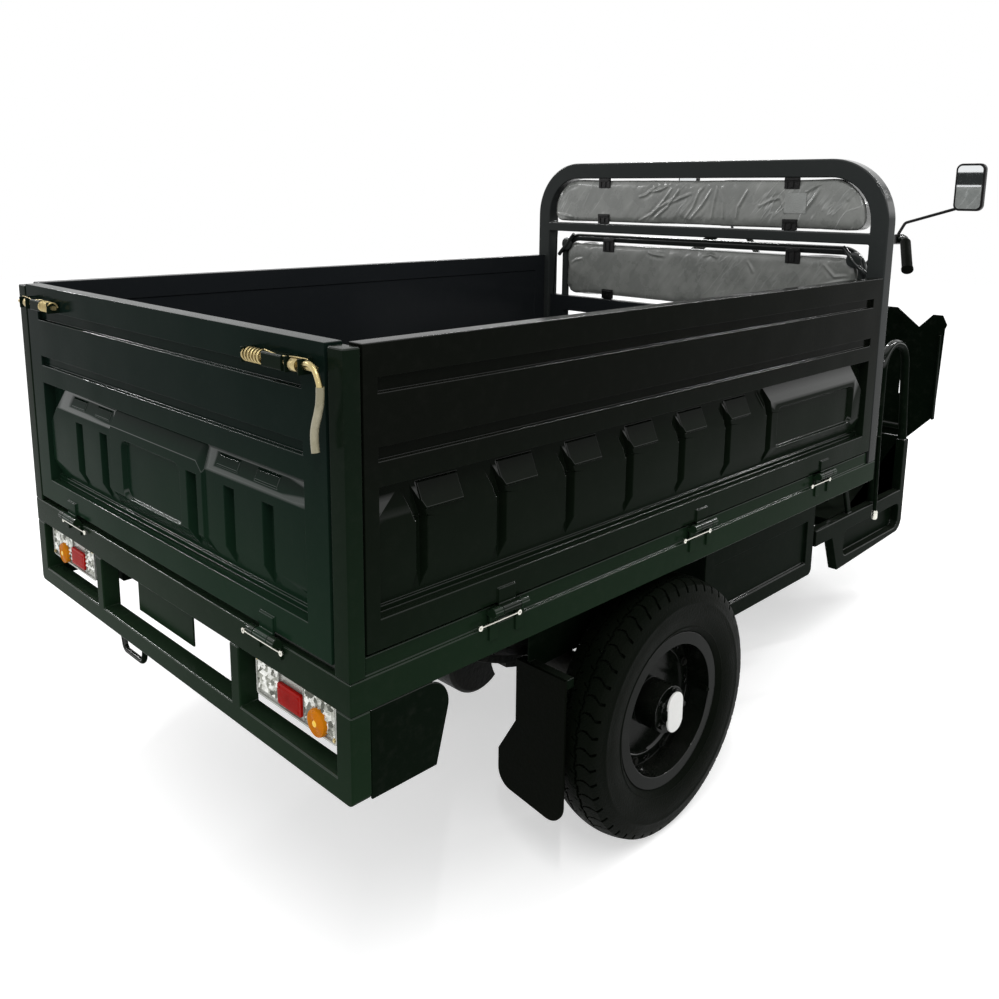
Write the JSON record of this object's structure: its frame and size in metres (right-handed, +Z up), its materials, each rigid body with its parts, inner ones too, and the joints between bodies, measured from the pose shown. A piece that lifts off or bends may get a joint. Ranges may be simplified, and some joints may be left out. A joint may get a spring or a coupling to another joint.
{
  "type": "cargo tricycle",
  "caption": "Open-bed cargo tricycle with drop sides and tailgate, head hoop with padded backrests, handlebar steering and rear tail lamps.",
  "frame": {"origin": "ground level, middle of the overall length and width", "axes": "+X forward, +Y to the vehicle's left, +Z up"},
  "size_m": [3.2711, 1.32, 1.4798],
  "materials": {
    "paint": "gloss",
    "paint_black": "gloss",
    "chassis_black": "satin",
    "tyre": "matt",
    "film_fabric": "under clear film",
    "clip": "matt",
    "lamp_clear": "clear over reflector",
    "lamp_red": "translucent",
    "lamp_amber": "translucent",
    "zinc": "yellow zinc plated",
    "rubber": "matt",
    "cast": "painted",
    "seat_leather": "satin",
    "mirror_shell": "satin",
    "mirror": "polished",
    "glass": "clear"
  },
  "bodies": {
    "chassis": {"ladder_frame": "chassis_black", "front_frame": "chassis_black", "bed_frame": "paint", "cargo_floor": "paint_black", "corner_posts": "paint", "front_bulkhead": "paint_black", "head_hoop": "paint_black", "backrest_frame": "chassis_black", "upper_cushion": "film_fabric", "lower_cushion": "film_fabric", "cushion_clips": "clip", "bumper_frame": "paint", "bumper_cheeks": "paint", "tail_lamp_bodies": "lamp_clear", "lamp_red_lenses": "lamp_red", "lamp_amber_lenses": "lamp_amber", "plate_bracket": "paint", "tow_loop": "chassis_black", "hinge_pins": "zinc", "leaf_springs": "chassis_black", "rear_axle": "cast", "drive_motor": "cast", "mud_flaps": "rubber", "wheel_shields": "chassis_black", "battery_box": "chassis_black", "seat_base": "chassis_black", "seat_cushion": "seat_leather", "footboard": "chassis_black", "step_frames": "chassis_black", "leg_shield": "paint_black"},
    "steering": {"fork": "chassis_black", "front_mudguard": "paint_black", "handlebar": "chassis_black", "grips": "rubber", "mirrors": "mirror_shell", "mirror_glass": "mirror", "headlamp": "chassis_black", "headlamp_lens": "glass"},
    "front_wheel": {"front_rim": "chassis_black", "front_tyre": "tyre"},
    "rear_wheel_right": {"rear_rim_right": "chassis_black", "rear_tyre_right": "tyre"},
    "rear_wheel_left": {"rear_rim_left": "chassis_black", "rear_tyre_left": "tyre"},
    "tailgate_body": {"tailgate": "paint", "tailgate_latches": "zinc"},
    "side_right_body": {"side_right": "paint"},
    "side_left_body": {"side_left": "paint"}
  },
  "joints": [
    {"name": "steer", "type": "hinge", "parent": "chassis", "child": "steering", "pos_m": [0.99265, 0, 0.9], "axis": [-0.4384, 0, 0.8988], "range_deg": [-38, 38]},
    {"name": "front_wheel_spin", "type": "hinge", "parent": "steering", "child": "front_wheel", "pos_m": [1.3374, 0, 0.273], "axis": [0, 1, 0], "continuous": true},
    {"name": "rear_wheel_right_spin", "type": "hinge", "parent": "chassis", "child": "rear_wheel_right", "pos_m": [-0.79125, -0.599, 0.2845], "axis": [0, 1, 0], "continuous": true},
    {"name": "rear_wheel_left_spin", "type": "hinge", "parent": "chassis", "child": "rear_wheel_left", "pos_m": [-0.79125, 0.599, 0.2845], "axis": [0, 1, 0], "continuous": true},
    {"name": "tailgate_hinge", "type": "hinge", "parent": "chassis", "child": "tailgate_body", "pos_m": [-1.62235, 0, 0.65], "axis": [0, -1, 0], "range_deg": [0, 178]},
    {"name": "side_right_hinge", "type": "hinge", "parent": "chassis", "child": "side_right_body", "pos_m": [-1.61235, -0.635, 0.672], "axis": [1, 0, 0], "range_deg": [0, 168]},
    {"name": "side_left_hinge", "type": "hinge", "parent": "chassis", "child": "side_left_body", "pos_m": [-1.61235, 0.635, 0.672], "axis": [-1, 0, 0], "range_deg": [0, 168]}
  ]
}
